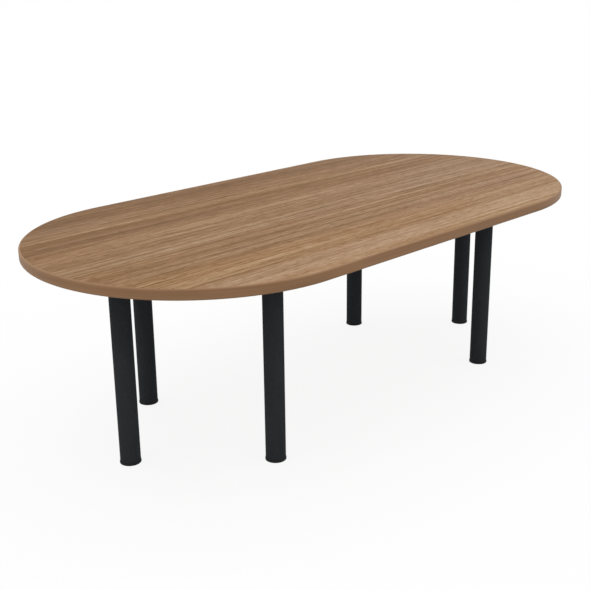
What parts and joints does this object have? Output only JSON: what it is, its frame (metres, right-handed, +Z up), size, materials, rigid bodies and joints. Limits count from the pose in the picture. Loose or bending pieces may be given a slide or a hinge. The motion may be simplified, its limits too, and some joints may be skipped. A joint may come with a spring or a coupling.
{
  "type": "conference table",
  "caption": "Racetrack conference table: wood-look laminate top with half-round ends on round black post legs with levelling feet.",
  "frame": {"origin": "on the floor under the middle of the top", "axes": "+X along the table's length towards its right end, +Y towards its rear side, +Z up"},
  "size_m": [2.4, 1.2, 0.73],
  "materials": {
    "wood_laminate": "brown wood-look laminate, fine straight grain, satin",
    "edge_band": "brown wood-look band, satin",
    "chipboard": "raw chipboard",
    "backing_laminate": "plain brown balancing laminate, matt",
    "powder_coated_steel": "black powder coat, fine texture, matt",
    "die_cast_zinc": "black coated die casting",
    "zinc_plated_steel": "bright zinc plate",
    "black_plastic": "moulded black plastic, fine spark-eroded texture"
  },
  "bodies": {
    "table": {"tabletop_core": "chipboard", "top_laminate": "wood_laminate", "backing_laminate": "backing_laminate", "edge_band": "edge_band", "left_end_leg_tube": "powder_coated_steel", "left_end_mounting_plate": "die_cast_zinc", "left_end_clamp_screw": "zinc_plated_steel", "left_end_plate_screw_1": "zinc_plated_steel", "left_end_plate_screw_2": "zinc_plated_steel", "left_end_plate_screw_3": "zinc_plated_steel", "left_end_tube_insert": "black_plastic", "right_end_leg_tube": "powder_coated_steel", "right_end_mounting_plate": "die_cast_zinc", "right_end_clamp_screw": "zinc_plated_steel", "right_end_plate_screw_1": "zinc_plated_steel", "right_end_plate_screw_2": "zinc_plated_steel", "right_end_plate_screw_3": "zinc_plated_steel", "right_end_tube_insert": "black_plastic", "front_left_leg_tube": "powder_coated_steel", "front_left_mounting_plate": "die_cast_zinc", "front_left_clamp_screw": "zinc_plated_steel", "front_left_plate_screw_1": "zinc_plated_steel", "front_left_plate_screw_2": "zinc_plated_steel", "front_left_plate_screw_3": "zinc_plated_steel", "front_left_tube_insert": "black_plastic", "front_right_leg_tube": "powder_coated_steel", "front_right_mounting_plate": "die_cast_zinc", "front_right_clamp_screw": "zinc_plated_steel", "front_right_plate_screw_1": "zinc_plated_steel", "front_right_plate_screw_2": "zinc_plated_steel", "front_right_plate_screw_3": "zinc_plated_steel", "front_right_tube_insert": "black_plastic", "rear_left_leg_tube": "powder_coated_steel", "rear_left_mounting_plate": "die_cast_zinc", "rear_left_clamp_screw": "zinc_plated_steel", "rear_left_plate_screw_1": "zinc_plated_steel", "rear_left_plate_screw_2": "zinc_plated_steel", "rear_left_plate_screw_3": "zinc_plated_steel", "rear_left_tube_insert": "black_plastic", "rear_right_leg_tube": "powder_coated_steel", "rear_right_mounting_plate": "die_cast_zinc", "rear_right_clamp_screw": "zinc_plated_steel", "rear_right_plate_screw_1": "zinc_plated_steel", "rear_right_plate_screw_2": "zinc_plated_steel", "rear_right_plate_screw_3": "zinc_plated_steel", "rear_right_tube_insert": "black_plastic"},
    "left_end_stud": {"left_end_levelling_stud": "zinc_plated_steel"},
    "left_end_pad": {"left_end_foot_pad": "black_plastic"},
    "right_end_stud": {"right_end_levelling_stud": "zinc_plated_steel"},
    "right_end_pad": {"right_end_foot_pad": "black_plastic"},
    "front_left_stud": {"front_left_levelling_stud": "zinc_plated_steel"},
    "front_left_pad": {"front_left_foot_pad": "black_plastic"},
    "front_right_stud": {"front_right_levelling_stud": "zinc_plated_steel"},
    "front_right_pad": {"front_right_foot_pad": "black_plastic"},
    "rear_left_stud": {"rear_left_levelling_stud": "zinc_plated_steel"},
    "rear_left_pad": {"rear_left_foot_pad": "black_plastic"},
    "rear_right_stud": {"rear_right_levelling_stud": "zinc_plated_steel"},
    "rear_right_pad": {"rear_right_foot_pad": "black_plastic"}
  },
  "joints": [
    {"name": "left_end_foot_height", "type": "slide", "parent": "table", "child": "left_end_stud", "axis": [0, 0, -1], "range_m": [0, 0.015]},
    {"name": "left_end_foot_turn", "type": "hinge", "parent": "left_end_stud", "child": "left_end_pad", "pos_m": [-0.95, 0, 0], "axis": [0, 0, -1], "range_deg": [0, 3600]},
    {"name": "right_end_foot_height", "type": "slide", "parent": "table", "child": "right_end_stud", "axis": [0, 0, -1], "range_m": [0, 0.015]},
    {"name": "right_end_foot_turn", "type": "hinge", "parent": "right_end_stud", "child": "right_end_pad", "pos_m": [0.95, 0, 0], "axis": [0, 0, -1], "range_deg": [0, 3600]},
    {"name": "front_left_foot_height", "type": "slide", "parent": "table", "child": "front_left_stud", "axis": [0, 0, -1], "range_m": [0, 0.015]},
    {"name": "front_left_foot_turn", "type": "hinge", "parent": "front_left_stud", "child": "front_left_pad", "pos_m": [-0.6, -0.35, 0], "axis": [0, 0, -1], "range_deg": [0, 3600]},
    {"name": "front_right_foot_height", "type": "slide", "parent": "table", "child": "front_right_stud", "axis": [0, 0, -1], "range_m": [0, 0.015]},
    {"name": "front_right_foot_turn", "type": "hinge", "parent": "front_right_stud", "child": "front_right_pad", "pos_m": [0.6, -0.35, 0], "axis": [0, 0, -1], "range_deg": [0, 3600]},
    {"name": "rear_left_foot_height", "type": "slide", "parent": "table", "child": "rear_left_stud", "axis": [0, 0, -1], "range_m": [0, 0.015]},
    {"name": "rear_left_foot_turn", "type": "hinge", "parent": "rear_left_stud", "child": "rear_left_pad", "pos_m": [-0.6, 0.35, 0], "axis": [0, 0, -1], "range_deg": [0, 3600]},
    {"name": "rear_right_foot_height", "type": "slide", "parent": "table", "child": "rear_right_stud", "axis": [0, 0, -1], "range_m": [0, 0.015]},
    {"name": "rear_right_foot_turn", "type": "hinge", "parent": "rear_right_stud", "child": "rear_right_pad", "pos_m": [0.6, 0.35, 0], "axis": [0, 0, -1], "range_deg": [0, 3600]}
  ],
  "couplings": [
    {"joint": "left_end_foot_height", "follows": "left_end_foot_turn", "m_per_rad": 0.00023873},
    {"joint": "right_end_foot_height", "follows": "right_end_foot_turn", "m_per_rad": 0.00023873},
    {"joint": "front_left_foot_height", "follows": "front_left_foot_turn", "m_per_rad": 0.00023873},
    {"joint": "front_right_foot_height", "follows": "front_right_foot_turn", "m_per_rad": 0.00023873},
    {"joint": "rear_left_foot_height", "follows": "rear_left_foot_turn", "m_per_rad": 0.00023873},
    {"joint": "rear_right_foot_height", "follows": "rear_right_foot_turn", "m_per_rad": 0.00023873}
  ]
}
